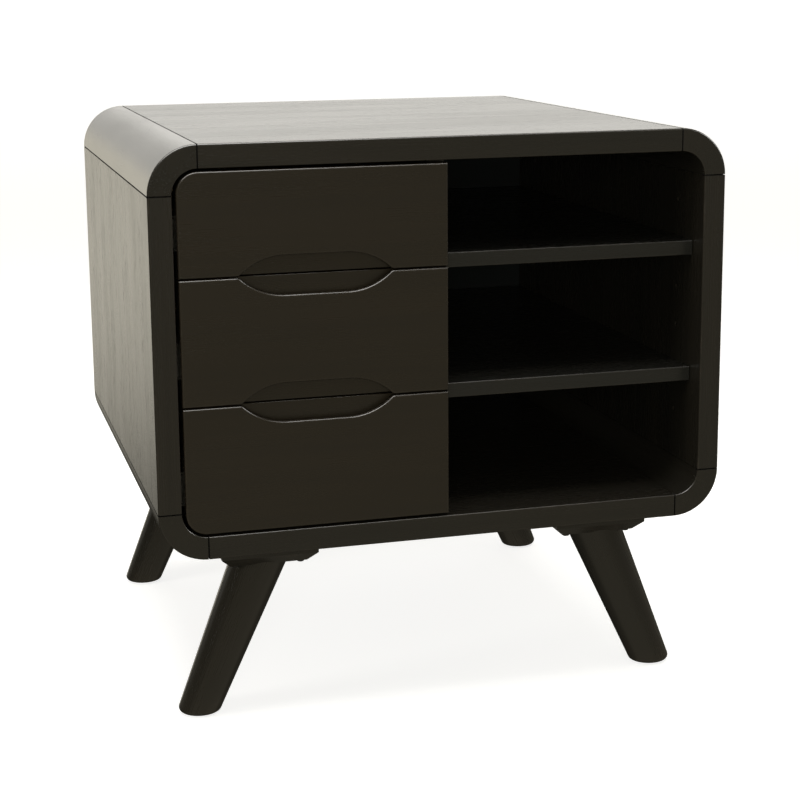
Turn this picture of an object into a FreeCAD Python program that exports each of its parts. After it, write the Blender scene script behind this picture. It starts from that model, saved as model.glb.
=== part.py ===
import FreeCAD, Part
import math
import os

# A nightstand: a box of thick boards with rounded corner blocks, on four splayed legs.
# Three drawers fill the left half, and two shelves divide the open bay on the right.
# Millimetres. +Z is up, the fronts face -Y, and the origin is the middle of the footprint
# on the floor.

# Case
WIDTH = 610.0
DEPTH = 590.0
CASE_HEIGHT = 420.0
LEG_HEIGHT = 191.0
BOARD = 24.0
CORNER_RADIUS = 50.0
OUTER_ARRIS = 2.0
INNER_ARRIS = 1.5
REAR_ARRIS = 1.0

# Shadow groove round each joint between a board and a corner block, half in each
GROOVE_HALF_WIDTH = 0.5
GROOVE_DEPTH = 2.0

# Back panel, in a rabbet round the rear of the case
BACK_THICKNESS = 6.0
RABBET_DEPTH = 7.0
RABBET_WIDTH = 8.0
BACK_PLAY = 0.5
BACK_SCREW_HEAD = (2.8, 0.9)
BACK_SCREW_SHANK = (1.4, 20.0)
BACK_SCREW_SPACING_X = 200.0
BACK_SCREW_SPACING_Z = 128.0

# Divider and shelves
DIVIDER_THICKNESS = 18.0
DIVIDER_RIGHT = 2.0
SHELF_THICKNESS = 16.0
SHELF_SETBACK = 25.0
SHELF_PLAY = 1.0
SHELF_REAR_GAP = 6.0
SHELF_ARRIS = 1.5
SHELF_LEVELS = {"lower_shelf": 152.0, "upper_shelf": 290.0}
PIN_STEP = 48.0
PIN_RADIUS = 2.5
PIN_IN_WALL = 10.0
PIN_OUT = 7.0
PIN_INSET = 65.0

# Drawers: heights of the fronts above the case's underside
FRONT_LEFT_GAP = 4.0
FRONT_RIGHT = -1.0
FRONT_THICKNESS = 22.0
FRONT_ARRIS = 2.0
SEAM_ARRIS = 0.8
FRONT_HEIGHTS = {
    "bottom_drawer": (26.5, 157.0),
    "middle_drawer": (158.5, 286.6),
    "top_drawer": (288.1, 393.0),
}
BOX_BOTTOM_INSET = 12.0
BOX_TOP_INSET = 14.0
BOX_DEPTH = 450.0
BOX_BOARD = 12.0
BOX_ARRIS = 1.5
BOX_FLOOR = 5.0
FLOOR_HEIGHT = 10.0
FLOOR_GROOVE = 5.0

# Finger recess, one half in each of the two fronts that meet at a seam
RECESS_HALF_FLAT = 32.0
RECESS_HEIGHT = 19.2
RECESS_END_RADIUS = 66.0
RECESS_TIP_ROUND = 5.0
RECESS_DEPTH = 11.0
RECESS_CENTRE = -138.5
LIP_THICKNESS = 5.5
UNDERCUT = 5.0

# Telescopic runners, seen from the front: thickness across and height of each member
RUNNER_SPACE = 12.7
RUNNER_SHEET = 1.2
RUNNER_LENGTH = 450.0
RUNNER_FRONT_GAP = 5.0
RUNNER_ABOVE_BOX = 30.0
RUNNER_SCREW_SPOTS = (35.0, 225.0, 415.0)
RUNNER_SCREW_HEAD = (3.2, 1.1)
RUNNER_SCREW_SHANK = (1.6, 11.0)
CABINET_MEMBER = (0.0, 10.2, 17.5)
MIDDLE_MEMBER = (3.0, 10.8, 14.6)
DRAWER_MEMBER = (12.7, 5.2, 11.0)

# Legs and the blocks that carry them
BLOCK_LENGTH = 103.0
BLOCK_DEPTH = 84.0
BLOCK_THICKNESS = 25.5
BLOCK_CHAMFER = 10.5
BLOCK_X = 184.5
BLOCK_FRONT = 258.0
LEG_TOP = (190.5, 221.0)
LEG_FOOT = (261.0, 223.5)
LEG_TOP_RADIUS = 28.8
LEG_FOOT_RADIUS = 21.2
FOOT_ROUND = 5.0
GLIDE_THICKNESS = 1.5
GLIDE_RADIUS = 12.0
GLIDE_ROUND = 0.7
GLIDE_NAIL = (1.2, 11.0)

# Fasteners
CASE_DOWEL = (4.0, 30.0)
CASE_DOWEL_INSET = 50.0
CASE_DOWEL_ROWS = 4
DIVIDER_DOWEL_SPACING = 200.0
DRAWER_DOWEL = (3.0, 24.0)
DOWEL_IN_FRONT = 10.0
DOWEL_END_COVER = 4.0
DOWEL_ABOVE_BOX_BOTTOM = 28.0
DOWEL_BELOW_BOX_TOP = 14.0
HANGER_RADIUS = 4.0
HANGER_IN_LEG = 35.0
HANGER_IN_BLOCK = 17.0
INSERT_RADIUS = 6.0
INSERT_START = 3.0
BLOCK_SCREW_X = 35.0
BLOCK_SCREW_Y = 26.0
BLOCK_SCREW_HEAD = (4.0, 2.4)
BLOCK_SCREW_SHANK = (2.0, 40.0)
BUMPER_RADIUS = 4.0
BUMPER_THICKNESS = 2.8
BUMPER_ABOVE_FRONT_BOTTOM = 32.0
BUMPER_BELOW_FRONT_TOP = 20.0

FRONT = -DEPTH / 2
REAR = DEPTH / 2
CASE_BOTTOM = LEG_HEIGHT
CASE_TOP = LEG_HEIGHT + CASE_HEIGHT
INNER_X = WIDTH / 2 - BOARD
INNER_BOTTOM = CASE_BOTTOM + BOARD
INNER_TOP = CASE_TOP - BOARD
BLOCK_BOTTOM = CASE_BOTTOM - BLOCK_THICKNESS
BACK_FACE = REAR - RABBET_DEPTH
SHELF_FRONT = FRONT + SHELF_SETBACK
DIVIDER_LEFT = DIVIDER_RIGHT - DIVIDER_THICKNESS
FRONT_LEFT = -INNER_X + FRONT_LEFT_GAP
FRONT_BACK = FRONT + FRONT_THICKNESS
RUNNER_FRONT = FRONT_BACK + RUNNER_FRONT_GAP
BOX_LEFT = -INNER_X + RUNNER_SPACE
BOX_RIGHT = DIVIDER_LEFT - RUNNER_SPACE
BOX_BACK = FRONT_BACK + BOX_DEPTH
DIVIDER_MIDDLE = (DIVIDER_LEFT + DIVIDER_RIGHT) / 2
LEFT_RIGHT = (-1, 1)
MIDDLE_AND_SIDES = (-1, 0, 1)
AXIS_X = FreeCAD.Vector(1, 0, 0)
AXIS_Y = FreeCAD.Vector(0, 1, 0)
AXIS_Z = FreeCAD.Vector(0, 0, 1)
CLOSE = 0.02


def box(x_range, y_range, z_range):
    """A rectangular board between the given (low, high) pairs."""
    corner = FreeCAD.Vector(x_range[0], y_range[0], z_range[0])
    sizes = [high - low for low, high in (x_range, y_range, z_range)]
    return Part.makeBox(*sizes, corner)


def rod(start, direction, radius, length):
    return Part.makeCylinder(radius, length, start, direction)


def centred_rod(middle, direction, radius, length):
    return rod(middle - direction * (length / 2), direction, radius, length)


def edges_on(shape, radius=None, **planes):
    """Edges that lie in every named plane, such as y=0, and have the given curve radius."""
    found = []
    for edge in shape.Edges:
        bounds = edge.BoundBox
        lows = {"x": bounds.XMin, "y": bounds.YMin, "z": bounds.ZMin}
        highs = {"x": bounds.XMax, "y": bounds.YMax, "z": bounds.ZMax}
        flat = all(
            abs(lows[axis] - place) < CLOSE and abs(highs[axis] - place) < CLOSE
            for axis, place in planes.items()
        )
        curve_radius = getattr(edge.Curve, "Radius", None)
        round_enough = radius is None or (
            curve_radius is not None and abs(curve_radius - radius) < CLOSE
        )
        if flat and round_enough:
            found.append(edge)
    return found


def face_lies_on(face, axis, place):
    bounds = face.optimalBoundingBox(False)
    low = getattr(bounds, axis.upper() + "Min")
    high = getattr(bounds, axis.upper() + "Max")
    return abs(low - place) < CLOSE and abs(high - place) < CLOSE


def rounded_face(corners):
    """A flat face in the XZ plane through (x, z, corner radius) corners, in order."""
    count = len(corners)
    edges = []
    ends = []
    for index, (x, z, radius) in enumerate(corners):
        corner = FreeCAD.Vector(x, 0, z)
        before = FreeCAD.Vector(corners[index - 1][0], 0, corners[index - 1][1])
        following = corners[(index + 1) % count]
        after = FreeCAD.Vector(following[0], 0, following[1])
        if radius == 0:
            ends.append((corner, corner))
            continue
        back = (before - corner).normalize()
        onward = (after - corner).normalize()
        half_angle = back.getAngle(onward) / 2
        inward = (back + onward).normalize()
        reach = radius / math.tan(half_angle)
        middle = corner + inward * (radius / math.sin(half_angle) - radius)
        start = corner + back * reach
        end = corner + onward * reach
        edges.append(Part.Arc(start, middle, end).toShape())
        ends.append((start, end))
    for index in range(count):
        leave = ends[index - 1][1]
        arrive = ends[index][0]
        if leave.distanceToPoint(arrive) > CLOSE:
            edges.append(Part.LineSegment(leave, arrive).toShape())
    return Part.Face(Part.Wire(Part.__sortEdges__(edges)))


def along_y(face, y_range):
    """The face pushed along Y between two depths."""
    moved = face.copy()
    moved.translate(FreeCAD.Vector(0, y_range[0], 0))
    return moved.extrude(FreeCAD.Vector(0, y_range[1] - y_range[0], 0))


def cut_all(shape, cutters):
    return shape.cut(Part.makeCompound(cutters)).removeSplitter() if cutters else shape


def screw(tip_direction, seat, head, shank):
    """A screw with a domed head. The seat is where the head meets the face it holds."""
    head_radius, head_height = head
    shank_radius, length = shank
    cap = rod(seat - tip_direction * head_height, tip_direction, head_radius, head_height)
    rim = [edge for edge in cap.Edges if edge.Curve.TypeId == "Part::GeomCircle"]
    outer_rim = min(rim, key=lambda edge: edge.Curve.Center.dot(tip_direction))
    cap = cap.makeFillet(head_height * 0.6, [outer_rim])
    point = shank_radius * 1.6
    body = rod(seat, tip_direction, shank_radius, length - point)
    tip = Part.makeCone(
        shank_radius, 0.3, point, seat + tip_direction * (length - point), tip_direction
    )
    return cap.fuse([body, tip]).removeSplitter()


# Case boards


def groove_ends(board, axis, places):
    """Steps the ends of a board in by the groove's depth, so that two ends make a shadow groove."""
    for place in places:
        end = next(face for face in board.Faces if face_lies_on(face, axis, place))
        inward = -end.normalAt(0, 0) * GROOVE_HALF_WIDTH
        core = end.makeOffset2D(-GROOVE_DEPTH, join=2)
        board = board.cut(end.extrude(inward).cut(core.extrude(inward)))
    return board


def flat_board(z_range, outer, inner):
    """The top or the bottom of the case."""
    reach = WIDTH / 2 - CORNER_RADIUS
    board = box((-reach, reach), (FRONT, REAR), z_range)
    board = board.makeFillet(OUTER_ARRIS, edges_on(board, y=FRONT, z=outer))
    board = board.makeFillet(INNER_ARRIS, edges_on(board, y=FRONT, z=inner))
    board = board.makeFillet(REAR_ARRIS, edges_on(board, y=REAR, z=outer))
    return groove_ends(board, "x", (-reach, reach))


def side_board(side):
    """The left (-1) or right (1) wall of the case."""
    outer = side * WIDTH / 2
    inner = side * INNER_X
    ends = (CASE_BOTTOM + CORNER_RADIUS, CASE_TOP - CORNER_RADIUS)
    board = box(sorted((outer, inner)), (FRONT, REAR), ends)
    board = board.makeFillet(OUTER_ARRIS, edges_on(board, x=outer, y=FRONT))
    board = board.makeFillet(INNER_ARRIS, edges_on(board, x=inner, y=FRONT))
    board = board.makeFillet(REAR_ARRIS, edges_on(board, x=outer, y=REAR))
    return groove_ends(board, "z", ends)


def corner_block(side, level):
    """A quarter of a thick tube that turns the corner between two boards."""
    inner_radius = CORNER_RADIUS - BOARD
    start = FreeCAD.Vector(0, FRONT, 0)
    ring = rod(start, AXIS_Y, CORNER_RADIUS, DEPTH)
    ring = ring.cut(rod(start, AXIS_Y, inner_radius, DEPTH))
    reach = CORNER_RADIUS + 1
    block = ring.common(box((0, reach), (FRONT, REAR), (0, reach)))
    block = block.makeFillet(OUTER_ARRIS, edges_on(block, CORNER_RADIUS, y=FRONT))
    block = block.makeFillet(INNER_ARRIS, edges_on(block, inner_radius, y=FRONT))
    block = block.makeFillet(REAR_ARRIS, edges_on(block, CORNER_RADIUS, y=REAR))
    block = groove_ends(block, "x", (0,))
    block = groove_ends(block, "z", (0,))
    quarter_turns = {(1, 1): 0, (1, -1): 1, (-1, -1): 2, (-1, 1): 3}[(side, level)]
    block.rotate(FreeCAD.Vector(), AXIS_Y, 90 * quarter_turns)
    middle = (CASE_BOTTOM + CASE_TOP) / 2
    across = side * (WIDTH / 2 - CORNER_RADIUS)
    up = middle + level * (CASE_HEIGHT / 2 - CORNER_RADIUS)
    block.translate(FreeCAD.Vector(across, 0, up))
    return block


def case_outline(offset):
    """The inside of the case, grown outwards by the offset, as a flat face."""
    radius = CORNER_RADIUS - BOARD + offset
    x = INNER_X + offset
    low = INNER_BOTTOM - offset
    high = INNER_TOP + offset
    corners = [(-x, low), (x, low), (x, high), (-x, high)]
    return rounded_face([(*corner, radius) for corner in corners])


def case_dowels():
    """Dowels across the eight joints between boards and corner blocks, and in the divider."""
    step = (DEPTH - 2 * CASE_DOWEL_INSET) / (CASE_DOWEL_ROWS - 1)
    rows = [FRONT + CASE_DOWEL_INSET + step * row for row in range(CASE_DOWEL_ROWS)]
    joint_x = WIDTH / 2 - CORNER_RADIUS
    middle_x = WIDTH / 2 - BOARD / 2
    board_heights = (CASE_BOTTOM + BOARD / 2, CASE_TOP - BOARD / 2)
    joint_heights = (CASE_BOTTOM + CORNER_RADIUS, CASE_TOP - CORNER_RADIUS)
    dowels = []
    for y in rows:
        for side in LEFT_RIGHT:
            for z in board_heights:
                middle = FreeCAD.Vector(side * joint_x, y, z)
                dowels.append(centred_rod(middle, AXIS_X, *CASE_DOWEL))
            for z in joint_heights:
                middle = FreeCAD.Vector(side * middle_x, y, z)
                dowels.append(centred_rod(middle, AXIS_Z, *CASE_DOWEL))
    for place in MIDDLE_AND_SIDES:
        for z in (INNER_BOTTOM, INNER_TOP):
            middle = FreeCAD.Vector(DIVIDER_MIDDLE, place * DIVIDER_DOWEL_SPACING, z)
            dowels.append(centred_rod(middle, AXIS_Z, *CASE_DOWEL))
    return dowels


def back_screws():
    """Small screws through the back panel, into the rabbet all round and into the divider."""
    inset = RABBET_WIDTH / 2
    middle_z = (CASE_BOTTOM + CASE_TOP) / 2
    spots = []
    for place in MIDDLE_AND_SIDES:
        for side in LEFT_RIGHT:
            spots.append((side * (INNER_X + inset), middle_z + place * BACK_SCREW_SPACING_Z))
        for z in (INNER_BOTTOM - inset, INNER_TOP + inset):
            spots.append((place * BACK_SCREW_SPACING_X, z))
    for side in LEFT_RIGHT:
        spots.append((DIVIDER_MIDDLE, middle_z + side * BACK_SCREW_SPACING_Z))
    face = BACK_FACE + BACK_THICKNESS
    seats = [FreeCAD.Vector(x, face, z) for x, z in spots]
    return [screw(-AXIS_Y, seat, BACK_SCREW_HEAD, BACK_SCREW_SHANK) for seat in seats]


# Open bay


def pin_rows():
    return (FRONT + PIN_INSET, BACK_FACE - PIN_INSET)


def pin_holes():
    """Every hole of the two rows in each wall of the bay, three to a shelf."""
    holes = []
    for level in SHELF_LEVELS.values():
        for step in MIDDLE_AND_SIDES:
            z = CASE_BOTTOM + level + step * PIN_STEP
            for y in pin_rows():
                right = FreeCAD.Vector(INNER_X, y, z)
                left = FreeCAD.Vector(DIVIDER_RIGHT, y, z)
                holes.append(rod(right, AXIS_X, PIN_RADIUS, PIN_IN_WALL))
                holes.append(rod(left, -AXIS_X, PIN_RADIUS, PIN_IN_WALL))
    return holes


def shelf_pins():
    """The four pins that carry each shelf, inside the grooves in its ends."""
    length = PIN_IN_WALL + PIN_OUT
    pins = []
    for level in SHELF_LEVELS.values():
        for y in pin_rows():
            z = CASE_BOTTOM + level
            right = FreeCAD.Vector(INNER_X - PIN_OUT, y, z)
            left = FreeCAD.Vector(DIVIDER_RIGHT + PIN_OUT, y, z)
            pins.append(rod(right, AXIS_X, PIN_RADIUS, length))
            pins.append(rod(left, -AXIS_X, PIN_RADIUS, length))
    return pins


def shelf(level):
    """A shelf whose end grooves are open at the back, so that it slides over its pins."""
    middle = CASE_BOTTOM + level
    low = middle - SHELF_THICKNESS / 2
    high = middle + SHELF_THICKNESS / 2
    x_range = (DIVIDER_RIGHT + SHELF_PLAY, INNER_X - SHELF_PLAY)
    rear = BACK_FACE - SHELF_REAR_GAP
    board = box(x_range, (SHELF_FRONT, rear), (low, high))
    edges = edges_on(board, y=SHELF_FRONT, z=low) + edges_on(board, y=SHELF_FRONT, z=high)
    board = board.makeFillet(SHELF_ARRIS, edges)
    groove_front = FRONT + PIN_INSET - PIN_RADIUS
    heights = (middle - PIN_RADIUS, middle + PIN_RADIUS)
    grooves = [
        box((x_range[0], x_range[0] + PIN_OUT), (groove_front, rear), heights),
        box((x_range[1] - PIN_OUT, x_range[1]), (groove_front, rear), heights),
    ]
    return cut_all(board, grooves)


# Drawers


def recess_face(seam, direction, grow, tip_round):
    """Half of the finger recess, on one side of a seam: a flat edge that curves at both ends."""
    radius = RECESS_END_RADIUS + grow
    arc_centre = RECESS_HEIGHT - RECESS_END_RADIUS
    tip = RECESS_HALF_FLAT + math.sqrt((radius + tip_round) ** 2 - (arc_centre - tip_round) ** 2)

    def point(side, across, into):
        return FreeCAD.Vector(RECESS_CENTRE + side * across, 0, seam + direction * into)

    def on_circle(side, centre, radius, angle):
        across = centre[0] + radius * math.sin(angle)
        return point(side, across, centre[1] + radius * math.cos(angle))

    end_angle = math.acos((tip_round - arc_centre) / (radius + tip_round))
    end_circle = ((RECESS_HALF_FLAT, arc_centre), radius)
    tip_circle = ((tip, tip_round), tip_round)
    edges = []
    for side in LEFT_RIGHT:
        top = on_circle(side, *end_circle, 0)
        meet = on_circle(side, *end_circle, end_angle)
        edges.append(Part.Arc(top, on_circle(side, *end_circle, end_angle / 2), meet).toShape())
        if tip_round:
            halfway = on_circle(side, *tip_circle, math.pi + end_angle / 2)
            edges.append(Part.Arc(meet, halfway, point(side, tip, 0)).toShape())
        edges.append(Part.LineSegment(point(side, tip, 0), point(side, tip, -1)).toShape())
    edges.append(Part.LineSegment(*(point(side, tip, -1) for side in LEFT_RIGHT)).toShape())
    flat_ends = [on_circle(side, *end_circle, 0) for side in LEFT_RIGHT]
    edges.append(Part.LineSegment(*flat_ends).toShape())
    return Part.Face(Part.Wire(Part.__sortEdges__(edges)))


def recess_cutters(seam, direction):
    """The recess and the hollow behind its lip, which fingers hook into."""
    front = recess_face(seam, direction, 0, RECESS_TIP_ROUND)
    behind = recess_face(seam, direction, UNDERCUT, 0)
    floor = FRONT + RECESS_DEPTH
    return [along_y(front, (FRONT - 1, floor)), along_y(behind, (FRONT + LIP_THICKNESS, floor))]


def drawer_front(name):
    """A front, rounded where it follows the case's corner, with a recess at each seam."""
    low, high = (CASE_BOTTOM + height for height in FRONT_HEIGHTS[name])
    corner = CORNER_RADIUS - BOARD - FRONT_LEFT_GAP
    low_corner = corner if name == "bottom_drawer" else 0
    high_corner = corner if name == "top_drawer" else 0
    outline = [
        (FRONT_LEFT, low, low_corner),
        (FRONT_RIGHT, low, 0),
        (FRONT_RIGHT, high, 0),
        (FRONT_LEFT, high, high_corner),
    ]
    front = along_y(rounded_face(outline), (FRONT, FRONT_BACK))
    seams = []
    if name != "bottom_drawer":
        seams.append((low, 1))
    if name != "top_drawer":
        seams.append((high, -1))
    for seam, direction in seams:
        front = cut_all(front, recess_cutters(seam, direction))
    front = front.makeFillet(FRONT_ARRIS, edges_on(front, y=FRONT))
    for seam, _ in seams:
        front = front.makeFillet(SEAM_ARRIS, edges_on(front, y=FRONT + RECESS_DEPTH, z=seam))
    return front


def box_heights(name):
    low, high = FRONT_HEIGHTS[name]
    return CASE_BOTTOM + low + BOX_BOTTOM_INSET, CASE_BOTTOM + high - BOX_TOP_INSET


def drawer_floor(name):
    """The thin floor, which sits in a groove in all four walls."""
    low = box_heights(name)[0] + FLOOR_HEIGHT
    inner = BOX_BOARD - FLOOR_GROOVE
    x_range = (BOX_LEFT + inner, BOX_RIGHT - inner)
    return box(x_range, (FRONT_BACK - FLOOR_GROOVE, BOX_BACK - inner), (low, low + BOX_FLOOR))


def drawer_dowels(name):
    """Dowels from the sides into the front and from the sides into the back."""
    radius, length = DRAWER_DOWEL
    low, high = box_heights(name)
    start = FRONT_BACK - DOWEL_IN_FRONT
    back = BOX_BACK - BOX_BOARD / 2
    dowels = []
    for z in (low + DOWEL_ABOVE_BOX_BOTTOM, high - DOWEL_BELOW_BOX_TOP):
        for wall in (BOX_LEFT + BOX_BOARD / 2, BOX_RIGHT - BOX_BOARD / 2):
            dowels.append(rod(FreeCAD.Vector(wall, start, z), AXIS_Y, radius, length))
        left = FreeCAD.Vector(BOX_LEFT + DOWEL_END_COVER, back, z)
        right = FreeCAD.Vector(BOX_RIGHT - DOWEL_END_COVER, back, z)
        dowels.append(rod(left, AXIS_X, radius, length))
        dowels.append(rod(right, -AXIS_X, radius, length))
    return dowels


def rounded_board(board):
    """Softens the long top edges of a thin drawer wall."""
    edges = edges_on(board, z=board.BoundBox.ZMax)
    longest = max(edge.Length for edge in edges)
    return board.makeFillet(BOX_ARRIS, [edge for edge in edges if edge.Length > longest - 1])


def drawer_parts(name):
    """The front, two sides, back and floor of one drawer, with its dowels and screws."""
    heights = box_heights(name)
    sides = (FRONT_BACK, BOX_BACK)
    inner = (BOX_LEFT + BOX_BOARD, BOX_RIGHT - BOX_BOARD)
    floor = drawer_floor(name)
    dowels = drawer_dowels(name)
    screws = runner_screws(name, DRAWER_MEMBER)
    walls = {
        "front": drawer_front(name),
        "left_side": rounded_board(box((BOX_LEFT, inner[0]), sides, heights)),
        "right_side": rounded_board(box((inner[1], BOX_RIGHT), sides, heights)),
        "back": rounded_board(box(inner, (BOX_BACK - BOX_BOARD, BOX_BACK), heights)),
    }
    fitted = [floor] + dowels + screws
    made = {f"{name}_{wall}": cut_all(shape, fitted) for wall, shape in walls.items()}
    members = [cut_all(member, screws) for member in runner_pair(name, DRAWER_MEMBER)]
    made[f"{name}_floor"] = floor
    made[f"{name}_dowels"] = Part.makeCompound(dowels)
    made[f"{name}_runner_screws"] = Part.makeCompound(screws)
    made[f"{name}_runner_members"] = Part.makeCompound(members)
    return made


# Runners


def runner_level(name):
    return box_heights(name)[0] + RUNNER_ABOVE_BOX


def runner_pair(name, member):
    """One channel-shaped member of the runner on each side of a drawer."""
    web, edge, half_height = member
    level = runner_level(name)
    opening = 1 if edge > web else -1
    web_inner = web + opening * RUNNER_SHEET
    inner_height = half_height - RUNNER_SHEET
    outline = [
        (web, -half_height),
        (edge, -half_height),
        (edge, -inner_height),
        (web_inner, -inner_height),
        (web_inner, inner_height),
        (edge, inner_height),
        (edge, half_height),
        (web, half_height),
    ]
    pair = []
    for wall, direction in ((-INNER_X, 1), (DIVIDER_LEFT, -1)):
        face = rounded_face([(wall + direction * x, level + z, 0) for x, z in outline])
        pair.append(along_y(face, (RUNNER_FRONT, RUNNER_FRONT + RUNNER_LENGTH)))
    return pair


def runner_screws(name, member):
    """Three flat screws in each member that is fixed to wood."""
    web, edge, _ = member
    opening = 1 if edge > web else -1
    face = web + opening * RUNNER_SHEET
    level = runner_level(name)
    screws = []
    for wall, direction in ((-INNER_X, 1), (DIVIDER_LEFT, -1)):
        tip = AXIS_X * (-opening * direction)
        for spot in RUNNER_SCREW_SPOTS:
            seat = FreeCAD.Vector(wall + direction * face, RUNNER_FRONT + spot, level)
            screws.append(screw(tip, seat, RUNNER_SCREW_HEAD, RUNNER_SCREW_SHANK))
    return screws


def bumpers():
    """Rubber dots on the divider's front edge, two behind each drawer front."""
    dots = []
    for low, high in FRONT_HEIGHTS.values():
        for height in (low + BUMPER_ABOVE_FRONT_BOTTOM, high - BUMPER_BELOW_FRONT_TOP):
            start = FreeCAD.Vector(DIVIDER_MIDDLE - 1, SHELF_FRONT, CASE_BOTTOM + height)
            dots.append(rod(start, -AXIS_Y, BUMPER_RADIUS, BUMPER_THICKNESS))
    return dots


# Legs


def leg_ends(side, end):
    """Where a leg's axis meets the block above it and the floor."""
    top = FreeCAD.Vector(side * LEG_TOP[0], end * LEG_TOP[1], BLOCK_BOTTOM)
    foot = FreeCAD.Vector(side * LEG_FOOT[0], end * LEG_FOOT[1], 0)
    return top, foot


def leg_block(side, end):
    """A bevelled block screwed under the case, which holds the top of one leg."""
    middle = side * BLOCK_X
    x_range = (middle - BLOCK_LENGTH / 2, middle + BLOCK_LENGTH / 2)
    y_range = sorted((end * BLOCK_FRONT, end * (BLOCK_FRONT - BLOCK_DEPTH)))
    block = box(x_range, y_range, (BLOCK_BOTTOM, CASE_BOTTOM))
    return block.makeChamfer(BLOCK_CHAMFER, edges_on(block, z=BLOCK_BOTTOM))


def leg(side, end):
    """A round tapered leg, cut level at the foot and scribed to the block at the top."""
    top, foot = leg_ends(side, end)
    length = top.distanceToPoint(foot)
    axis = (top - foot).normalize()
    spare = 20.0
    taper = (LEG_TOP_RADIUS - LEG_FOOT_RADIUS) / length
    cone = Part.makeCone(
        LEG_FOOT_RADIUS - taper * spare,
        LEG_TOP_RADIUS + taper * spare,
        length + 2 * spare,
        foot - axis * spare,
        axis,
    )
    reach = WIDTH
    slab = box((-reach, reach), (-reach, reach), (GLIDE_THICKNESS, BLOCK_BOTTOM + BLOCK_CHAMFER))
    shaped = cone.common(slab).cut(leg_block(side, end))
    shaped = max(shaped.Solids, key=lambda solid: solid.Volume)
    return shaped.makeFillet(FOOT_ROUND, edges_on(shaped, z=GLIDE_THICKNESS))


def hanger_bolt(side, end):
    """A double-ended bolt along the leg's axis, from the leg into the block."""
    top, foot = leg_ends(side, end)
    axis = (top - foot).normalize()
    return rod(top - axis * HANGER_IN_LEG, axis, HANGER_RADIUS, HANGER_IN_LEG + HANGER_IN_BLOCK)


def insert(side, end):
    """A threaded sleeve in the block, round the hanger bolt."""
    top, foot = leg_ends(side, end)
    axis = (top - foot).normalize()
    length = HANGER_IN_BLOCK - INSERT_START
    sleeve = rod(top + axis * INSERT_START, axis, INSERT_RADIUS, length)
    return sleeve.cut(hanger_bolt(side, end))


def glide(side, end):
    """A plastic disc with a nail, driven into the bottom of a foot."""
    foot = FreeCAD.Vector(side * LEG_FOOT[0], end * LEG_FOOT[1], 0)
    disc = rod(foot, AXIS_Z, GLIDE_RADIUS, GLIDE_THICKNESS)
    disc = disc.makeFillet(GLIDE_ROUND, edges_on(disc, z=0))
    nail = rod(foot + AXIS_Z * GLIDE_THICKNESS, AXIS_Z, *GLIDE_NAIL)
    return disc.fuse(nail)


def block_screws(side, end):
    """Four screws up through a leg block, near its corners."""
    screws = []
    middle_y = end * (BLOCK_FRONT - BLOCK_DEPTH / 2)
    for across in LEFT_RIGHT:
        for along in LEFT_RIGHT:
            x = side * BLOCK_X + across * BLOCK_SCREW_X
            seat = FreeCAD.Vector(x, middle_y + along * BLOCK_SCREW_Y, BLOCK_BOTTOM)
            screws.append(screw(AXIS_Z, seat, BLOCK_SCREW_HEAD, BLOCK_SCREW_SHANK))
    return screws


def leg_parts():
    """The four blocks and legs, and the fasteners and glides that go with them."""
    corners = {
        "front_left": (-1, -1),
        "front_right": (1, -1),
        "rear_left": (-1, 1),
        "rear_right": (1, 1),
    }
    group_names = ("leg_block_screws", "leg_hanger_bolts", "leg_thread_inserts", "floor_glides")
    groups = {name: [] for name in group_names}
    made = {}
    for name, (side, end) in corners.items():
        bolt = hanger_bolt(side, end)
        sleeve = insert(side, end)
        foot_glide = glide(side, end)
        screws = block_screws(side, end)
        made[f"{name}_leg_block"] = cut_all(leg_block(side, end), [bolt, sleeve] + screws)
        made[f"{name}_leg"] = cut_all(leg(side, end), [bolt, foot_glide])
        groups["leg_block_screws"] += screws
        groups["leg_hanger_bolts"].append(bolt)
        groups["leg_thread_inserts"].append(sleeve)
        groups["floor_glides"].append(foot_glide)
    return made, groups


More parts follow.
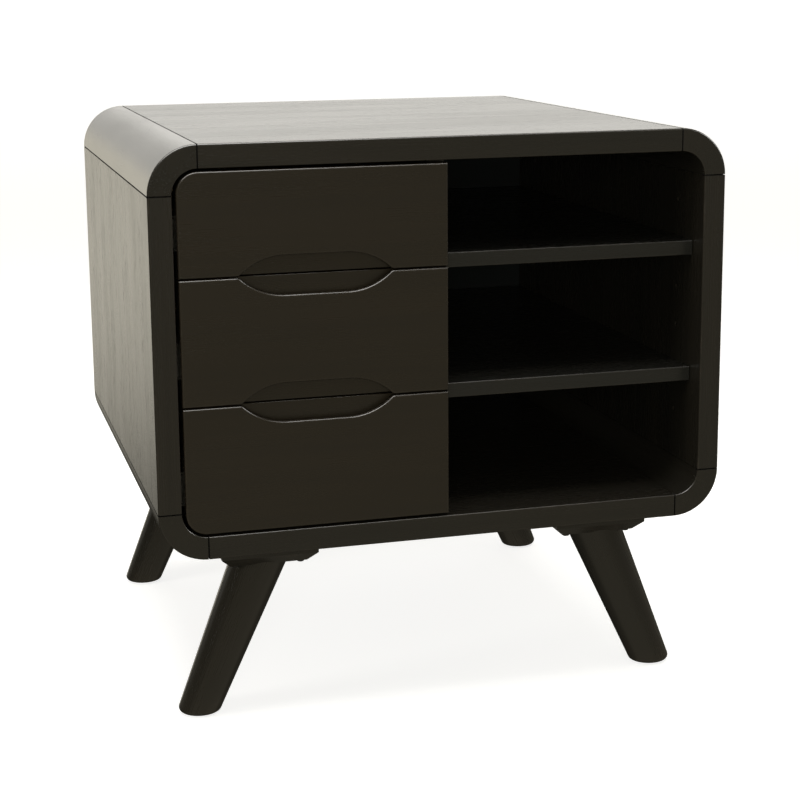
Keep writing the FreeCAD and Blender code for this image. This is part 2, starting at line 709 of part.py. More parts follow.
def main():
    leg_made, groups = leg_parts()
    dowels = case_dowels()
    screws = back_screws()
    member_screws = [item for name in FRONT_HEIGHTS for item in runner_screws(name, CABINET_MEMBER)]
    rabbet = along_y(case_outline(RABBET_WIDTH), (BACK_FACE, REAR + 1))
    fixings = dowels + screws + member_screws + groups["leg_block_screws"]
    case_cutters = [rabbet] + fixings + pin_holes()
    divider_depth = (SHELF_FRONT, BACK_FACE)
    inner_heights = (INNER_BOTTOM, INNER_TOP)

    parts = {
        "top_panel": flat_board((INNER_TOP, CASE_TOP), CASE_TOP, INNER_TOP),
        "bottom_panel": flat_board((CASE_BOTTOM, INNER_BOTTOM), CASE_BOTTOM, INNER_BOTTOM),
        "left_side_panel": side_board(-1),
        "right_side_panel": side_board(1),
        "top_left_corner_block": corner_block(-1, 1),
        "top_right_corner_block": corner_block(1, 1),
        "bottom_left_corner_block": corner_block(-1, -1),
        "bottom_right_corner_block": corner_block(1, -1),
        "divider": box((DIVIDER_LEFT, DIVIDER_RIGHT), divider_depth, inner_heights),
    }
    parts = {name: cut_all(shape, case_cutters) for name, shape in parts.items()}

    back_range = (BACK_FACE, BACK_FACE + BACK_THICKNESS)
    back = along_y(case_outline(RABBET_WIDTH - BACK_PLAY), back_range)
    parts["back_panel"] = cut_all(back, screws)
    parts["back_panel_screws"] = Part.makeCompound(screws)
    parts["case_dowels"] = Part.makeCompound(dowels)
    for name, level in SHELF_LEVELS.items():
        parts[name] = shelf(level)
    parts["shelf_pins"] = Part.makeCompound(shelf_pins())
    parts["drawer_bumpers"] = Part.makeCompound(bumpers())

    for name in FRONT_HEIGHTS:
        parts.update(drawer_parts(name))
        members = [cut_all(member, member_screws) for member in runner_pair(name, CABINET_MEMBER)]
        parts[f"{name}_cabinet_runners"] = Part.makeCompound(members)
        parts[f"{name}_middle_runners"] = Part.makeCompound(runner_pair(name, MIDDLE_MEMBER))
    parts["cabinet_runner_screws"] = Part.makeCompound(member_screws)

    parts.update(leg_made)
    for name, solids in groups.items():
        parts[name] = Part.makeCompound(solids)

    os.makedirs("parts", exist_ok=True)
    for name, shape in parts.items():
        shape.exportStep(f"parts/{name}.step")


main()
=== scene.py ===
import math

import bmesh
import bpy
from mathutils import Matrix, Vector


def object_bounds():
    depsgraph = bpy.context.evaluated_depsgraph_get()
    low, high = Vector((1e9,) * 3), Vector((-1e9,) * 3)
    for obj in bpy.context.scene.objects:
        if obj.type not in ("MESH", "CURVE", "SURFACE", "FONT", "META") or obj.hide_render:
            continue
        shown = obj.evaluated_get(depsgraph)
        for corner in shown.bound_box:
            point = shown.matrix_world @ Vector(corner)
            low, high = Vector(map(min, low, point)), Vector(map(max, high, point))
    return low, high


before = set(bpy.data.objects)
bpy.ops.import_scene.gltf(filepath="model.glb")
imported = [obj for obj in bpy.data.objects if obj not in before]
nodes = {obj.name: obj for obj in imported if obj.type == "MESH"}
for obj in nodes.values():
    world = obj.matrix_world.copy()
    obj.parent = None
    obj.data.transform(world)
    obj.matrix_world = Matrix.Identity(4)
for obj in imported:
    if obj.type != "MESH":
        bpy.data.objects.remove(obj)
cad_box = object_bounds()

DRAWERS = ("top_drawer", "middle_drawer", "bottom_drawer")
CORNERS = ("front_left", "front_right", "rear_left", "rear_right")
X_AXIS = Vector((1, 0, 0))
Y_AXIS = Vector((0, 1, 0))
Z_AXIS = Vector((0, 0, 1))


# ---------------------------------------------------------------- node helpers


class Tree:
    """Short calls for building one material's or the world's node tree."""

    def __init__(self, tree):
        self.tree = tree
        tree.nodes.clear()

    def add(self, kind, **settings):
        node = self.tree.nodes.new(kind)
        for name, value in settings.items():
            setattr(node, name, value)
        return node

    def put(self, socket, value):
        if isinstance(value, bpy.types.NodeSocket):
            self.tree.links.new(value, socket)
        elif isinstance(value, (tuple, list, Vector)) and len(value) == 3 and socket.type == "RGBA":
            socket.default_value = (*value, 1.0)
        else:
            socket.default_value = value

    def coordinate(self, kind):
        return self.add("ShaderNodeTexCoord").outputs[kind]

    def split(self, kind):
        """The x, y and z of one texture coordinate."""
        node = self.add("ShaderNodeSeparateXYZ")
        self.put(node.inputs[0], self.coordinate(kind))
        return node.outputs

    def math(self, operation, a, b=0.0, c=0.0, clamp=False):
        node = self.add("ShaderNodeMath", operation=operation, use_clamp=clamp)
        for socket, value in zip(node.inputs, (a, b, c)):
            self.put(socket, value)
        return node.outputs[0]

    def ramp(self, value, low, high, to_low=0.0, to_high=1.0):
        """value from low..high to to_low..to_high, smooth and clamped."""
        node = self.add("ShaderNodeMapRange", interpolation_type="SMOOTHSTEP")
        for socket, number in zip(node.inputs, (value, low, high, to_low, to_high)):
            self.put(socket, number)
        return node.outputs[0]

    def mix(self, factor, a, b):
        node = self.add("ShaderNodeMix", data_type="RGBA")
        self.put(node.inputs[0], factor)
        self.put(node.inputs[6], a)
        self.put(node.inputs[7], b)
        return node.outputs[2]

    def noise(self, vector, scale, detail, roughness, distortion=0.0):
        node = self.add("ShaderNodeTexNoise")
        self.put(node.inputs["Vector"], vector)
        self.put(node.inputs["Scale"], scale)
        self.put(node.inputs["Detail"], detail)
        self.put(node.inputs["Roughness"], roughness)
        self.put(node.inputs["Distortion"], distortion)
        return node.outputs["Fac"]

    def stretched(self, space, scales):
        """The grain space scaled to so many features a metre across and along the grain."""
        across, along = scales
        node = self.add("ShaderNodeMapping", vector_type="POINT")
        self.put(node.inputs["Vector"], space)
        node.inputs["Scale"].default_value = (across, across, along)
        return node.outputs[0]

    def streaks(self, space, scales, detail, roughness, distortion=0.0):
        """Noise drawn out along the grain."""
        return self.noise(self.stretched(space, scales), 1.0, detail, roughness, distortion)

    def bump(self, height, distance, normal=None):
        node = self.add("ShaderNodeBump")
        self.put(node.inputs["Height"], height)
        self.put(node.inputs["Distance"], distance)
        self.put(node.inputs["Strength"], 1.0)
        if normal is not None:
            self.put(node.inputs["Normal"], normal)
        return node.outputs[0]


def new_material(name):
    material = bpy.data.materials.new(name)
    material.use_nodes = True
    return material, Tree(material.node_tree)


def shade(color, factor, lift=0.0):
    return tuple(min(1.0, channel * factor + lift) for channel in color)


def around(value, spread):
    """The two ends of a spread below and above a value."""
    return tuple(value + offset for offset in spread)


PLAIN_SPECULAR = 0.5


def principled(t, color, roughness, normal, metallic=0.0, specular=PLAIN_SPECULAR):
    shader = t.add("ShaderNodeBsdfPrincipled")
    t.put(shader.inputs["Base Color"], color)
    t.put(shader.inputs["Roughness"], roughness)
    t.put(shader.inputs["Normal"], normal)
    t.put(shader.inputs["Specular IOR Level"], specular)
    shader.inputs["Metallic"].default_value = metallic
    out = t.add("ShaderNodeOutputMaterial")
    t.put(out.inputs["Surface"], shader.outputs[0])


def grain_space(t, axis, offset=(0, 0, 0)):
    """Object space in metres, turned so that the grain runs along its Z."""
    node = t.add("ShaderNodeMapping", vector_type="TEXTURE")
    t.put(node.inputs["Vector"], t.coordinate("Object"))
    node.inputs["Location"].default_value = offset
    node.inputs["Rotation"].default_value = Z_AXIS.rotation_difference(axis).to_euler()
    return node.outputs[0]


def use(material, *names):
    for name in names:
        for slot in nodes[name].material_slots:
            slot.material = material


# ---------------------------------------------------------------- masks

# Planes where the case's boards meet its corner blocks, and how far the painted shade in their
# grooves reaches beside them
JOINT_X = 0.255
JOINT_LEVELS = (0.241, 0.561)
JOINT_REACH = (0.0006, 0.0010)

# Where the case's outer skin ends and its inside begins, along each axis
SKIN_X = (0.300, 0.295)
SKIN_FRONT = (-0.290, -0.286)
SKIN_BOTTOM = (0.196, 0.201)
SKIN_TOP = (0.606, 0.601)

# Heights between which a leg's rubbed foot fades out
FOOT_RUB = (0.004, 0.035)

# The lean, as a product of the normal's share and its remainder, that counts as an arris
ARRIS_LEAN = (0.04, 0.2)


def arris_mask(t, axes=(0, 1, 2)):
    """1 on the rounded arrises, where the surface leans off the axes, and 0 on flat faces."""
    normal = t.split("Normal")
    total = 0.0
    for axis in axes:
        lean = t.math("ABSOLUTE", normal[axis])
        bend = t.math("MULTIPLY", lean, t.math("SUBTRACT", 1.0, lean))
        total = t.math("MAXIMUM", total, bend)
    return t.ramp(total, *ARRIS_LEAN)


def front_arris_mask(t):
    """1 on the arrises round the front and rear faces only."""
    return arris_mask(t, (1,))


def frontal(t):
    """How squarely the surface faces the front or the back: 0 to 1."""
    return t.math("ABSOLUTE", t.split("Normal")[1])


def foot_mask(t):
    """1 at the floor, fading to 0 a few centimetres up."""
    return t.ramp(t.split("Object")[2], *FOOT_RUB, 1.0, 0.0)


def joint_mask(t):
    """1 in and beside the shadow grooves round the case's joints, where the painted shade goes, 0 a
    millimetre off.
    """
    x, _, z = t.split("Object")
    off = t.math("ABSOLUTE", t.math("SUBTRACT", t.math("ABSOLUTE", x), JOINT_X))
    for level in JOINT_LEVELS:
        off = t.math("MINIMUM", off, t.math("ABSOLUTE", t.math("SUBTRACT", z, level)))
    return t.ramp(off, *JOINT_REACH, 1.0, 0.0)


def inner_mask(t):
    """1 on the faces turned into the case, 0 on its outside and its front edges.

    The rear edges count as inside, apart from their outermost 5 mm.
    """
    x, y, z = t.split("Object")
    inside = t.ramp(t.math("ABSOLUTE", x), *SKIN_X)
    for place, skin in ((y, SKIN_FRONT), (z, SKIN_BOTTOM), (z, SKIN_TOP)):
        inside = t.math("MINIMUM", inside, t.ramp(place, *skin))
    return inside


# ---------------------------------------------------------------- wood, board, steel, rubber

# Stain colours, lighter and darker, and what lies over them
STAINS = ((0.0165, 0.0150, 0.0112), (0.0215, 0.0178, 0.0125))
FRONT_STAINS = ((0.0182, 0.0142, 0.0086), (0.0222, 0.0166, 0.0098))
# The bay's stain: the same stain painted darker and greyer, as painted shade of the dim inside of
# the bay
BAY_SHADED_STAINS = ((0.0158, 0.0156, 0.0132), (0.0190, 0.0176, 0.0140))
STAIN_DEEP = (0.0110, 0.0100, 0.0076)
PORE_COLOR = (0.005, 0.004, 0.003)
WORN = (0.046, 0.036, 0.026)
# Painted shade: the near-black colour put in the joint grooves
GROOVE_SHADE = (0.003, 0.0026, 0.002)
PALE_WOOD = ((0.52, 0.37, 0.22), (0.40, 0.26, 0.14))
PALE_FLOOR = ((0.47, 0.34, 0.21), (0.37, 0.25, 0.14))
PALE_DOWEL = ((0.66, 0.50, 0.32), (0.54, 0.39, 0.23))

# Noise drawn out along the grain: features a metre across and along it, then the noise's
# detail, roughness and, for the figure, distortion
BROAD_FIGURE = ((14.0, 1.6), 3.0, 0.55, 0.6)
BAND_FIGURE = ((95.0, 3.0), 3.0, 0.6, 0.4)
FIBRES = ((900.0, 22.0), 2.0, 0.6)
PORES = ((1300.0, 75.0), 1.0, 0.4)
PORE_FIELDS = ((60.0, 9.0), 2.0, 0.5)
SMUDGES = ((16.0, 3.0), 3.0, 0.55)
PALE_BEND = ((9.0, 1.5), 2.0, 0.5)
PALE_FIBRES = ((800.0, 18.0), 2.0, 0.6)
PALE_PORES = ((1200.0, 60.0), 1.0, 0.4)
BRUSH_LINES = ((2600.0, 30.0), 2.0, 0.6)

# Noise alike in every direction: features a metre, detail, roughness and distortion
RUB_PATCHES = (38.0, 4.0, 0.65)
LACQUER_RIPPLE = (170.0, 2.0, 0.5)
MATTED_FIBRES = (520.0, 4.0, 0.7, 2.0)
BOARD_CLOUDS = (12.0, 3.0, 0.5)
STEEL_BLOTCHES = (140.0, 4.0, 0.6)
SPARK_TEXTURE = (1600.0, 2.0, 0.6)
SCUFFS = (90.0, 4.0, 0.65)

# Growth rings of the pale wood: rings a metre across and along the grain, bend and detail
RING_SCALES = (30.0, 1.2)
RING_BEND = 5.0
RING_DETAIL = 2.0

# The part of a noise's range that each layer fades in over
PLAIN_FADE = (0.3, 0.7)
BROAD_FADE = (0.30, 0.72)
BAND_FADE = (0.35, 0.70)
FIBRE_FADE = (0.3, 0.8)
PORE_FADE = (0.62, 0.70)
PORE_FIELD_FADE = (0.42, 0.62)
RUB_FADE = (0.45, 0.70)
SMUDGE_FADE = (0.25, 0.75)
LINE_FADE = (0.25, 0.75)
BLOTCH_FADE = (0.3, 0.75)
BLOTCH_DULL_FADE = (0.3, 0.8)
SCUFF_FADE = (0.4, 0.75)
MATTED_FADE = (0.35, 0.7)
GLOSS_FADE = (0.2, 0.8)
PALE_PORE_FADE = (0.62, 0.72)

# How strongly each layer of the stained wood tells in its colour, gloss and relief
BAND_TINT = 0.55
FIBRE_TINT = 0.2
PORE_TINT = 0.6
RUB_TINT = (0.05, 0.35)
SMUDGE_GLOSS = (-0.015, 0.015)
FIBRE_GLOSS = (-0.015, 0.02)
PORE_DULL = 0.2
FIBRE_RELIEF = 0.35

# The same for the pale wood; the dark factors shade its darker tone
RING_TINT = 0.55
BEND_TINT = 0.3
PALE_FIBRE_TINT = 0.25
PALE_FIBRE_DARK = 0.6
PALE_PORE_DARK = 0.35
PALE_GLOSS = (-0.05, 0.08)
PALE_RELIEF = 0.4

# The same for the back board, the steel, and the rubber and plastic
CLOUD_TINT = 0.35
BOARD_GLOSS = (-0.06, 0.08)
BLOTCH_TINT = 0.5
BLOTCH_DARK = 0.72
BLOTCH_DULL = 0.06
EDGE_TINT = 0.35
EDGE_BRIGHT = (1.5, 0.02)
STEEL_GLOSS = (-0.06, 0.08)
SCUFF_TINT = 0.5
DUST = (1.8, 0.01)
SCUFF_GLOSS = (-0.08, 0.1)

# Pores show less on faces squarely to the front: from and to this frontality, by this factor
FRONTAL_FADE = (0.3, 0.9)
FRONTAL_PORES = 0.3

# Bump heights in metres
RIPPLE_BUMP = 0.00002
STAINED_BUMP = 0.00003
PALE_BUMP = 0.00005
BOARD_BUMP = 0.00008
BRIGHT_BRUSH_BUMP = 0.000006
FINE_BRUSH_BUMP = 0.000004
SPARK_BUMP = 0.00002

# How far the grain is calmed inside the case, and the reflection taken from a joint's groove as
# painted shade
INNER_CALM = -0.75
GROOVE_REFLECTION_SHADE = -0.4


def stained_wood(name, axis, pores=1.0, figure=1.0, roughness=0.27, offset=(0, 0, 0),
                 worn=arris_mask, stains=STAINS, jointed=False):
    """Espresso stain under satin lacquer: figure and pores along the grain, worn spots, a ripple.

    A jointed board also has painted shade in its joint grooves, a darker colour and weaker
    reflection there, and calmer grain on its inner face.
    """
    material, t = new_material(name)
    space = grain_space(t, axis, offset)
    broad = t.streaks(space, *BROAD_FIGURE)
    bands = t.streaks(space, *BAND_FIGURE)
    fibre = t.streaks(space, *FIBRES)
    pore = t.streaks(space, *PORES)
    field = t.streaks(space, *PORE_FIELDS)
    pore = t.math("MULTIPLY", t.ramp(pore, *PORE_FADE), t.ramp(field, *PORE_FIELD_FADE))
    pore = t.math("MULTIPLY", pore, pores, clamp=True)
    pore = t.math("MULTIPLY", pore, t.ramp(frontal(t), *FRONTAL_FADE, 1.0, FRONTAL_PORES))
    calm = 1.0
    if jointed:
        inside = inner_mask(t)
        calm = t.math("MULTIPLY_ADD", inside, INNER_CALM, 1.0)
        pore = t.math("MULTIPLY", pore, calm)

    color = t.mix(t.ramp(broad, *BROAD_FADE, 0.0, figure), *stains)
    color = t.mix(t.ramp(bands, *BAND_FADE, 0.0, BAND_TINT * figure), color, STAIN_DEEP)
    fibre_tint = t.ramp(fibre, *FIBRE_FADE, 0.0, FIBRE_TINT * figure)
    color = t.mix(t.math("MULTIPLY", fibre_tint, calm), color, STAIN_DEEP)
    color = t.mix(t.math("MULTIPLY", pore, PORE_TINT), color, PORE_COLOR)
    patch = t.noise(space, *RUB_PATCHES)
    rub = t.math("MULTIPLY", worn(t), t.ramp(patch, *RUB_FADE, *RUB_TINT))
    color = t.mix(rub, color, WORN)

    smudge = t.streaks(space, *SMUDGES)
    rough = t.ramp(smudge, *SMUDGE_FADE, *around(roughness, SMUDGE_GLOSS))
    fibre_gloss = t.ramp(fibre, *GLOSS_FADE, *(gloss * figure for gloss in FIBRE_GLOSS))
    rough = t.math("ADD", rough, fibre_gloss)
    rough = t.math("ADD", rough, t.math("MULTIPLY", pore, PORE_DULL))

    ripple = t.bump(t.noise(space, *LACQUER_RIPPLE), RIPPLE_BUMP)
    grain = t.math("SUBTRACT", t.math("MULTIPLY", fibre, FIBRE_RELIEF), pore)
    normal = t.bump(t.math("MULTIPLY", grain, calm), STAINED_BUMP * pores, ripple)

    specular = PLAIN_SPECULAR
    if jointed:
        # Painted shade in the joint grooves: darker colour, rougher, and less specular reflection
        # there
        joint = t.math("MULTIPLY", joint_mask(t), t.math("SUBTRACT", 1.0, inside))
        color = t.mix(joint, color, GROOVE_SHADE)
        rough = t.math("MAXIMUM", rough, joint)
        specular = t.math("MULTIPLY_ADD", joint, GROOVE_REFLECTION_SHADE, PLAIN_SPECULAR)
    principled(t, color, rough, normal, specular=specular)
    return material


def pale_wood(name, axis, tones, roughness, pores=0.5):
    """Clear-lacquered pale wood or its dowels, with growth rings and fine pores."""
    light, dark = tones
    material, t = new_material(name)
    space = grain_space(t, axis)
    bend = t.streaks(space, *PALE_BEND)
    rings = t.add("ShaderNodeTexWave", wave_type="BANDS", bands_direction="X", wave_profile="SAW")
    t.put(rings.inputs["Vector"], t.stretched(space, RING_SCALES))
    t.put(rings.inputs["Scale"], 1.0)
    t.put(rings.inputs["Distortion"], RING_BEND)
    t.put(rings.inputs["Detail"], RING_DETAIL)
    fibre = t.streaks(space, *PALE_FIBRES)
    pore = t.ramp(t.streaks(space, *PALE_PORES), *PALE_PORE_FADE, 0.0, pores)
    color = t.mix(t.ramp(rings.outputs["Fac"], 0.0, 1.0, 0.0, RING_TINT), light, dark)
    color = t.mix(t.ramp(bend, *PLAIN_FADE, 0.0, BEND_TINT), color, dark)
    fibre_tint = t.ramp(fibre, *FIBRE_FADE, 0.0, PALE_FIBRE_TINT)
    color = t.mix(fibre_tint, color, shade(dark, PALE_FIBRE_DARK))
    color = t.mix(pore, color, shade(dark, PALE_PORE_DARK))
    rough = t.ramp(fibre, *GLOSS_FADE, *around(roughness, PALE_GLOSS))
    grain = t.math("SUBTRACT", t.math("MULTIPLY", fibre, PALE_RELIEF), pore)
    principled(t, color, rough, t.bump(grain, PALE_BUMP))
    return material


def pressed_board(name, light, dark, roughness):
    """Painted hardboard: short matted fibres in no direction and a slightly pitted face."""
    material, t = new_material(name)
    space = t.coordinate("Object")
    matted = t.noise(space, *MATTED_FIBRES)
    cloud = t.noise(space, *BOARD_CLOUDS)
    color = t.mix(t.ramp(matted, *MATTED_FADE), light, dark)
    color = t.mix(t.ramp(cloud, *PLAIN_FADE, 0.0, CLOUD_TINT), color, dark)
    rough = t.ramp(matted, *PLAIN_FADE, *around(roughness, BOARD_GLOSS))
    principled(t, color, rough, t.bump(matted, BOARD_BUMP))
    return material


def steel(name, color, roughness, brush, along=Z_AXIS, metallic=1.0):
    """Rolled or plated steel with brushing along one axis, small blotches and worn edges."""
    material, t = new_material(name)
    space = grain_space(t, along)
    lines = t.streaks(space, *BRUSH_LINES)
    blotch = t.noise(space, *STEEL_BLOTCHES)
    blotch_tint = t.ramp(blotch, *BLOTCH_FADE, 0.0, BLOTCH_TINT)
    tint = t.mix(blotch_tint, color, shade(color, BLOTCH_DARK))
    edge = t.math("MULTIPLY", arris_mask(t), EDGE_TINT)
    tint = t.mix(edge, tint, shade(color, *EDGE_BRIGHT))
    rough = t.math("ADD", t.ramp(lines, *LINE_FADE, *around(roughness, STEEL_GLOSS)),
                   t.ramp(blotch, *BLOTCH_DULL_FADE, 0.0, BLOTCH_DULL))
    principled(t, tint, rough, t.bump(lines, brush), metallic=metallic)
    return material


def moulded(name, color, roughness):
    """Moulded rubber or plastic: a fine spark-eroded texture, dust in the hollows."""
    material, t = new_material(name)
    space = t.coordinate("Object")
    fine = t.noise(space, *SPARK_TEXTURE)
    scuff = t.noise(space, *SCUFFS)
    tint = t.mix(t.ramp(scuff, *SCUFF_FADE, 0.0, SCUFF_TINT), color, shade(color, *DUST))
    rough = t.ramp(scuff, *BLOTCH_FADE, *around(roughness, SCUFF_GLOSS))
    principled(t, tint, rough, t.bump(fine, SPARK_BUMP))
    return material


# The share of a leg's height at each end that its axis is found from
LEG_END = 0.12


def leg_axis(corner):
    """Unit vector down a leg's middle, from its top's centre to its foot's centre."""
    points = [v.co for v in nodes[f"{corner}_leg"].data.vertices]
    high = max(p.z for p in points)
    low = min(p.z for p in points)
    band = (high - low) * LEG_END

    def middle(ring):
        return (Vector(map(min, *ring)) + Vector(map(max, *ring))) / 2

    top = middle([p for p in points if p.z > high - band])
    foot = middle([p for p in points if p.z < low + band])
    return (foot - top).normalized()


# ---------------------------------------------------------------- finishes

use(stained_wood("case_top_finish", X_AXIS, pores=0.6, figure=0.7, jointed=True), "top_panel")
use(stained_wood("case_bottom_finish", X_AXIS, pores=0.25, figure=0.5, offset=(0, 0, 0.4),
                 jointed=True),
    "bottom_panel")
use(stained_wood("left_side_finish", Z_AXIS, figure=0.8, jointed=True), "left_side_panel")
use(stained_wood("right_side_finish", Z_AXIS, figure=0.8, offset=(0.5, 0, 0), jointed=True),
    "right_side_panel")
use(stained_wood("corner_finish", Y_AXIS, pores=0.15, figure=0.4, roughness=0.25,
                 worn=front_arris_mask, jointed=True),
    *(f"{v}_{h}_corner_block" for v in ("top", "bottom") for h in ("left", "right")))
# The divider and shelves get the stain painted darker and greyer, as painted shade of the bay
use(stained_wood("divider_stain_and_painted_shade", Z_AXIS, pores=0.5, figure=0.6, stains=BAY_SHADED_STAINS), "divider")
use(stained_wood("shelf_stain_and_painted_shade", X_AXIS, pores=0.2, figure=0.5, stains=BAY_SHADED_STAINS),
    "upper_shelf", "lower_shelf")
for number, drawer in enumerate(DRAWERS):
    use(stained_wood(f"{drawer}_front_finish", X_AXIS, pores=0.1, figure=0.35,
                     stains=FRONT_STAINS, offset=(0.7 * number, 0, 0.31 * number)),
        f"{drawer}_front")
for number, corner in enumerate(CORNERS):
    use(stained_wood(f"{corner}_leg_finish", leg_axis(corner), pores=0.25, figure=0.35,
                     offset=(0.3 * number, 0, 0), worn=foot_mask),
        f"{corner}_leg")
use(stained_wood("leg_block_finish", X_AXIS, pores=0.4, figure=0.5, worn=front_arris_mask),
    *(f"{corner}_leg_block" for corner in CORNERS))

use(pressed_board("back_board_finish", (0.0125, 0.0138, 0.0128), (0.0080, 0.0088, 0.0082), 0.62),
    "back_panel")
use(pale_wood("drawer_side_finish", Y_AXIS, PALE_WOOD, 0.42),
    *(f"{drawer}_{side}_side" for drawer in DRAWERS for side in ("left", "right")))
use(pale_wood("drawer_back_finish", X_AXIS, PALE_WOOD, 0.42),
    *(f"{drawer}_back" for drawer in DRAWERS))
use(pale_wood("drawer_floor_finish", X_AXIS, PALE_FLOOR, 0.5, pores=0.3),
    *(f"{drawer}_floor" for drawer in DRAWERS))
use(pale_wood("dowel_finish", X_AXIS, PALE_DOWEL, 0.6),
    "case_dowels", *(f"{drawer}_dowels" for drawer in DRAWERS))
use(steel("runner_finish", (0.62, 0.62, 0.61), 0.3, BRIGHT_BRUSH_BUMP, Y_AXIS),
    *(f"{drawer}_{part}" for drawer in DRAWERS
      for part in ("runner_members", "cabinet_runners", "middle_runners")))
use(steel("screw_finish", (0.035, 0.034, 0.033), 0.38, FINE_BRUSH_BUMP, metallic=0.8),
    "back_panel_screws", "cabinet_runner_screws", "leg_block_screws",
    *(f"{drawer}_runner_screws" for drawer in DRAWERS))
use(steel("bolt_finish", (0.60, 0.60, 0.58), 0.34, BRIGHT_BRUSH_BUMP), "leg_hanger_bolts")
use(steel("insert_finish", (0.66, 0.64, 0.58), 0.4, BRIGHT_BRUSH_BUMP), "leg_thread_inserts")
use(steel("pin_finish", (0.62, 0.62, 0.60), 0.25, FINE_BRUSH_BUMP, X_AXIS), "shelf_pins")
use(moulded("bumper_finish", (0.05, 0.05, 0.05), 0.7), "drawer_bumpers")
use(moulded("glide_finish", (0.04, 0.035, 0.03), 0.55), "floor_glides")


# ---------------------------------------------------------------- floor and backdrop

FLOOR_RADIUS = 30.0
BACKDROP_RADIUS = 29.5
BACKDROP_HEIGHT = 25.0
DISC_STEPS = 96
FLOOR_DROP = 0.0002
FLOOR_PAINT = (0.62, 0.62, 0.61)
FLOOR_GLOW = 0.78
BACKDROP_PAINT = (0.8, 0.8, 0.8)
BACKDROP_GLOW = 1.2
GLOW_COLOR = (1.0, 0.998, 0.993)
PAINT_ROUGHNESS = 0.9
GLOW_RISE = 0.12
GLOW_REACH = (2.5, 8.0)


def stage_disc(name, radius, material, wall=0.0):
    """A round floor, or with wall set a ring wall round it, that isn't part of the object."""
    mesh = bpy.data.meshes.new(name)
    form = bmesh.new()
    level = cad_box[0].z - FLOOR_DROP
    turns = [2 * math.pi * i / DISC_STEPS for i in range(DISC_STEPS)]
    ring = [form.verts.new((radius * math.cos(turn), radius * math.sin(turn), level))
            for turn in turns]
    if wall:
        high = [form.verts.new(v.co + Vector((0, 0, wall))) for v in ring]
        for i in range(DISC_STEPS):
            form.faces.new((ring[i], high[i], high[i - 1], ring[i - 1]))
    else:
        form.faces.new(ring)
    form.to_mesh(mesh)
    form.free()
    mesh.materials.append(material)
    disc = bpy.data.objects.new(name, mesh)
    bpy.context.scene.collection.objects.link(disc)
    disc.visible_glossy = False
    disc.visible_diffuse = False
    return disc


def glow_material(name, color, glow):
    """Pale matte paint that also glows a little, more so far away, as a studio's sweep does."""
    material, t = new_material(name)
    shader = t.add("ShaderNodeBsdfPrincipled")
    t.put(shader.inputs["Base Color"], color)
    shader.inputs["Roughness"].default_value = PAINT_ROUGHNESS
    shader.inputs["Specular IOR Level"].default_value = 0.0
    t.put(shader.inputs["Emission Color"], GLOW_COLOR)
    away = t.add("ShaderNodeVectorMath", operation="LENGTH")
    t.put(away.inputs[0], t.coordinate("Object"))
    t.put(shader.inputs["Emission Strength"],
          t.ramp(away.outputs["Value"], *GLOW_REACH, glow, glow + GLOW_RISE))
    out = t.add("ShaderNodeOutputMaterial")
    t.put(out.inputs["Surface"], shader.outputs[0])
    return material


stage_disc("studio_floor", FLOOR_RADIUS, glow_material("floor_paint", FLOOR_PAINT, FLOOR_GLOW))
backdrop = stage_disc("studio_backdrop", BACKDROP_RADIUS,
                      glow_material("backdrop_paint", BACKDROP_PAINT, BACKDROP_GLOW),
                      BACKDROP_HEIGHT)
backdrop.visible_shadow = False


# ---------------------------------------------------------------- lights

WARM_WHITE = (1.0, 0.99, 0.97)


def area_light(name, at, size, radiance, color, target=None, glossy=True, diffuse=True):
    """A soft box of so many metres a side, by its radiance, that faces the target.

    With no target it faces the object's middle. glossy and diffuse say what it lights.
    """
    data = bpy.data.lights.new(name, "AREA")
    data.shape = "RECTANGLE"
    data.size, data.size_y = size
    data.energy = radiance * math.pi * size[0] * size[1]
    data.color = color
    light = bpy.data.objects.new(name, data)
    bpy.context.scene.collection.objects.link(light)
    light.location = at
    aim = Vector(target or (cad_box[0] + cad_box[1]) / 2) - Vector(at)
    light.rotation_euler = aim.to_track_quat("-Z", "Y").to_euler()
    light.visible_glossy = glossy
    light.visible_diffuse = diffuse
    light.visible_camera = False


area_light("overhead_softbox", (0.0, -0.3, 2.7), (2.2, 1.8), 4.5, (1.0, 0.985, 0.96))
area_light("arris_softbox", (-0.9, -0.9, 2.6), (2.56, 2.4), 8.0, WARM_WHITE, (-0.9, -0.6, 0.3),
           diffuse=False)
area_light("right_softbox", (2.2, -1.0, 1.6), (1.2, 1.0), 14.0, WARM_WHITE, diffuse=False)
area_light("left_softbox", (-3.0, -0.62, 0.9), (0.9, 0.7), 13.0, (1.0, 0.97, 0.92),
           (0.28, -0.28, 0.42), glossy=False)
area_light("bay_fill", (-0.7, -3.2, 0.8), (1.2, 1.0), 10.0, (0.97, 1.0, 0.98), glossy=False)

# ---------------------------------------------------------------- room

# The studio as the gloss sees it: dark in front, bright walls behind the object
ROOM_DARK = (0.03, 0.028, 0.022)
LOW_LEFT = (1.46, 1.38, 1.16)
LOW_FAR_LEFT = (0.10, 0.092, 0.072)
WALL_LEFT = (1.18, 1.15, 1.07)
WALL_RIGHT = (1.84, 1.80, 1.69)
WALL_HIGH = (0.45, 0.44, 0.42)
UNDER_FRONT = (0.33, 0.30, 0.232)
UNDER_BACK = (0.09, 0.082, 0.064)
FRONT = (0.20, 0.181, 0.137)
FAR_LEFT = (0.05, 0.046, 0.036)
STRAIGHT_DOWN = (0.16, 0.147, 0.114)

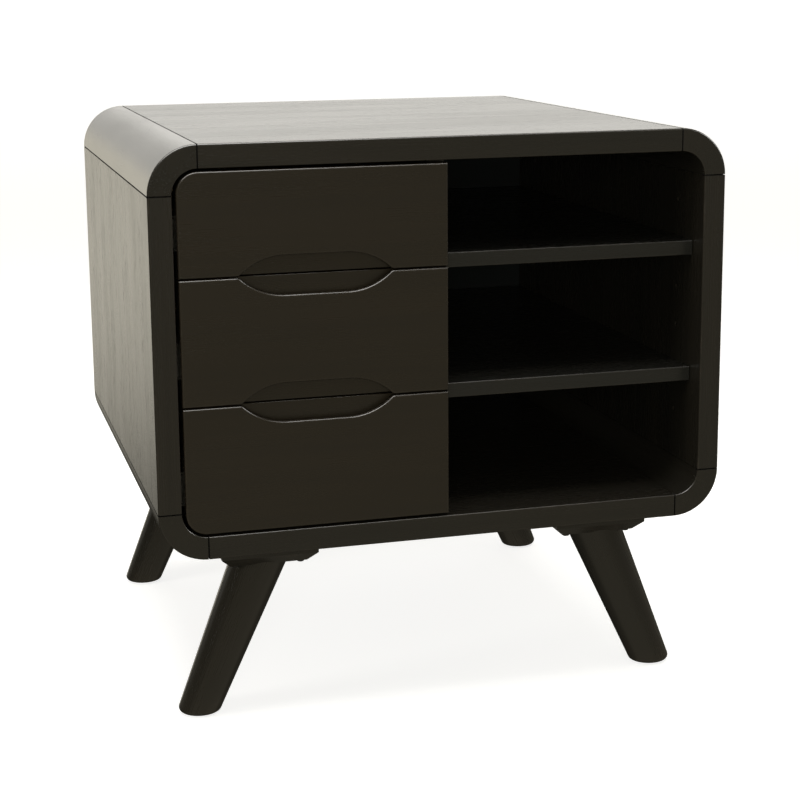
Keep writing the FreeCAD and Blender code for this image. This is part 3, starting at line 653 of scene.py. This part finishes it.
# Where one tone fades into the next, in the direction's share to the right, back or up
LOW_LEFT_EDGE = (0.0, -0.16)
LOW_FAR_LEFT_EDGE = (-0.30, -0.42)
LOW_EDGE = (-0.36, -0.14)
WALL_RIGHT_EDGE = (-0.08, 0.13)
WALL_EDGE = (-0.02, 0.12)
WALL_HIGH_EDGE = (0.20, 0.36)
UNDER_BACK_EDGE = (-0.15, 0.20)
FRONT_EDGE = (-0.45, -0.20)
BEHIND_EDGE = (0.35, 0.80)
FAR_LEFT_EDGE = (-0.94, -0.76)
STRAIGHT_DOWN_EDGE = (-0.93, -0.80)

world = bpy.data.worlds.new("studio_world")
world.use_nodes = True
bpy.context.scene.world = world
w = Tree(world.node_tree)
right, back, up = w.split("Generated")
low = w.mix(w.ramp(right, *LOW_LEFT_EDGE), ROOM_DARK, LOW_LEFT)
low = w.mix(w.ramp(right, *LOW_FAR_LEFT_EDGE), low, LOW_FAR_LEFT)
low = w.mix(w.ramp(up, *LOW_EDGE), ROOM_DARK, low)
wall = w.mix(w.ramp(right, *WALL_RIGHT_EDGE), WALL_LEFT, WALL_RIGHT)
behind = w.mix(w.ramp(up, *WALL_EDGE), low, wall)
behind = w.mix(w.ramp(up, *WALL_HIGH_EDGE), behind, WALL_HIGH)
under = w.mix(w.ramp(back, *UNDER_BACK_EDGE), UNDER_FRONT, UNDER_BACK)
before = w.mix(w.ramp(up, *FRONT_EDGE), under, FRONT)
room = w.mix(w.ramp(back, *BEHIND_EDGE), before, behind)
room = w.mix(w.ramp(right, *FAR_LEFT_EDGE), FAR_LEFT, room)
room = w.mix(w.ramp(up, *STRAIGHT_DOWN_EDGE), STRAIGHT_DOWN, room)
background = w.add("ShaderNodeBackground")
w.put(background.inputs["Color"], room)
background.inputs["Strength"].default_value = 1.0
world_out = w.add("ShaderNodeOutputWorld")
w.put(world_out.inputs["Surface"], background.outputs[0])


# ---------------------------------------------------------------- camera

CAMERA_AT = Vector((-0.5303, -2.0072, 0.7618))
CAMERA_YAW = -15.58
CAMERA_PITCH = 11.21
CAMERA_ROLL = -0.49
CAMERA_LENS = 80.15
CAMERA_SENSOR = 36.0
CAMERA_SHIFT_Y = -0.08
CAMERA_REACH = 200.0

camera_data = bpy.data.cameras.new("camera")
camera = bpy.data.objects.new("camera", camera_data)
bpy.context.scene.collection.objects.link(camera)
bpy.context.scene.camera = camera
camera_data.sensor_width = CAMERA_SENSOR
camera_data.lens = CAMERA_LENS
camera_data.shift_y = CAMERA_SHIFT_Y
camera_data.clip_end = CAMERA_REACH
yaw, pitch = math.radians(CAMERA_YAW), math.radians(CAMERA_PITCH)
view_back = Vector((math.sin(yaw) * math.cos(pitch), -math.cos(yaw) * math.cos(pitch),
                    math.sin(pitch)))
view_right = Vector((math.cos(yaw), math.sin(yaw), 0.0))
view_up = view_back.cross(view_right)
turn = Matrix((view_right, view_up, view_back)).transposed().to_4x4()
roll = Matrix.Rotation(math.radians(CAMERA_ROLL), 4, "Z")
camera.matrix_world = Matrix.Translation(CAMERA_AT) @ turn @ roll

bpy.context.scene.view_settings.view_transform = "Standard"
